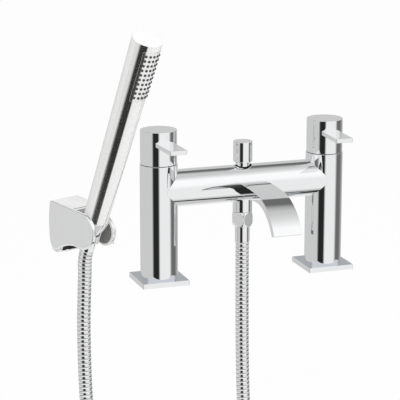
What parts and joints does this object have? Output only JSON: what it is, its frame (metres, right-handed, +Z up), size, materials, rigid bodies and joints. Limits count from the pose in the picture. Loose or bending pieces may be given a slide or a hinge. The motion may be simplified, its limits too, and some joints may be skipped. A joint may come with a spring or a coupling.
{
  "type": "bath shower mixer",
  "caption": "Deck-mounted bath shower mixer with lever handles, curved spout, pull-up diverter, ribbed hose and a stick handset in a tilting wall bracket.",
  "frame": {"origin": "on the deck plane under the flange plates, midway between the two pillars' inlets", "axes": "+X along the pillars, towards the right one; -Y towards the front, where the spout points; +Z up"},
  "size_m": [0.312, 0.2508, 0.4692],
  "materials": {
    "chrome_brass": "polished",
    "plated_plastic": "chrome plated",
    "hose_metal": "polished ribbed strip",
    "inner_brass": "machined",
    "steel_screw": "machined",
    "ceramic": "lapped ceramic",
    "seal_rubber": "moulded",
    "dark_plastic": "moulded",
    "white_plastic": "moulded"
  },
  "bodies": {
    "mixer": {"left_pillar": "chrome_brass", "left_flange_plate": "chrome_brass", "left_base_gasket": "seal_rubber", "left_cartridge_body": "inner_brass", "left_cartridge_ring": "seal_rubber", "left_seat_seal": "seal_rubber", "left_fixed_disc": "ceramic", "right_pillar": "chrome_brass", "right_flange_plate": "chrome_brass", "right_base_gasket": "seal_rubber", "right_cartridge_body": "inner_brass", "right_cartridge_ring": "seal_rubber", "right_seat_seal": "seal_rubber", "right_fixed_disc": "ceramic", "bridge_tube": "chrome_brass", "spout": "chrome_brass", "diverter_guide_bush": "inner_brass", "outlet_spigot": "chrome_brass", "outlet_hex_nut": "chrome_brass", "outlet_washer": "seal_rubber", "outlet_ferrule": "chrome_brass", "hose_drop": "hose_metal", "hose_coil": "hose_metal", "hose_rise": "hose_metal", "bracket_cover": "plated_plastic", "bracket_wall_mount": "white_plastic", "cradle_pivot": "inner_brass"},
    "left_handle_group": {"left_handle": "chrome_brass", "left_lever": "chrome_brass", "left_spindle": "inner_brass", "left_moving_disc": "ceramic", "left_grub_screw": "steel_screw"},
    "right_handle_group": {"right_handle": "chrome_brass", "right_lever": "chrome_brass", "right_spindle": "inner_brass", "right_moving_disc": "ceramic", "right_grub_screw": "steel_screw"},
    "diverter_group": {"diverter_knob": "chrome_brass", "diverter_rod": "inner_brass", "diverter_plunger": "inner_brass", "diverter_washers": "seal_rubber"},
    "cradle_group": {"cradle": "plated_plastic", "grip_washer": "dark_plastic", "end_disc": "plated_plastic"},
    "handset_group": {"handset_body": "plated_plastic", "handset_end_cap": "plated_plastic", "spray_plate": "plated_plastic", "nozzle_mat": "seal_rubber", "handset_connector": "inner_brass", "handset_washer": "seal_rubber", "hose_cone_nut": "chrome_brass"}
  },
  "joints": [
    {"name": "left_handle_turn", "type": "hinge", "parent": "mixer", "child": "left_handle_group", "pos_m": [-0.09, 0, 0.14], "axis": [0, 0, 1], "range_deg": [0, 90]},
    {"name": "right_handle_turn", "type": "hinge", "parent": "mixer", "child": "right_handle_group", "pos_m": [0.09, 0, 0.14], "axis": [0, 0, -1], "range_deg": [0, 90]},
    {"name": "diverter_lift", "type": "slide", "parent": "mixer", "child": "diverter_group", "axis": [0, 0, 1], "range_m": [0, 0.008]},
    {"name": "cradle_tilt", "type": "hinge", "parent": "mixer", "child": "cradle_group", "pos_m": [-0.16236, -0.00594, 0.0581], "axis": [0.9135, 0.4067, 0], "range_deg": [-15, 15], "deforming": ["hose_rise"]},
    {"name": "handset_turn", "type": "hinge", "parent": "cradle_group", "child": "handset_group", "pos_m": [-0.16236, -0.00594, 0.0581], "axis": [0.1576, -0.354, 0.9219], "range_deg": [-90, 90]}
  ]
}
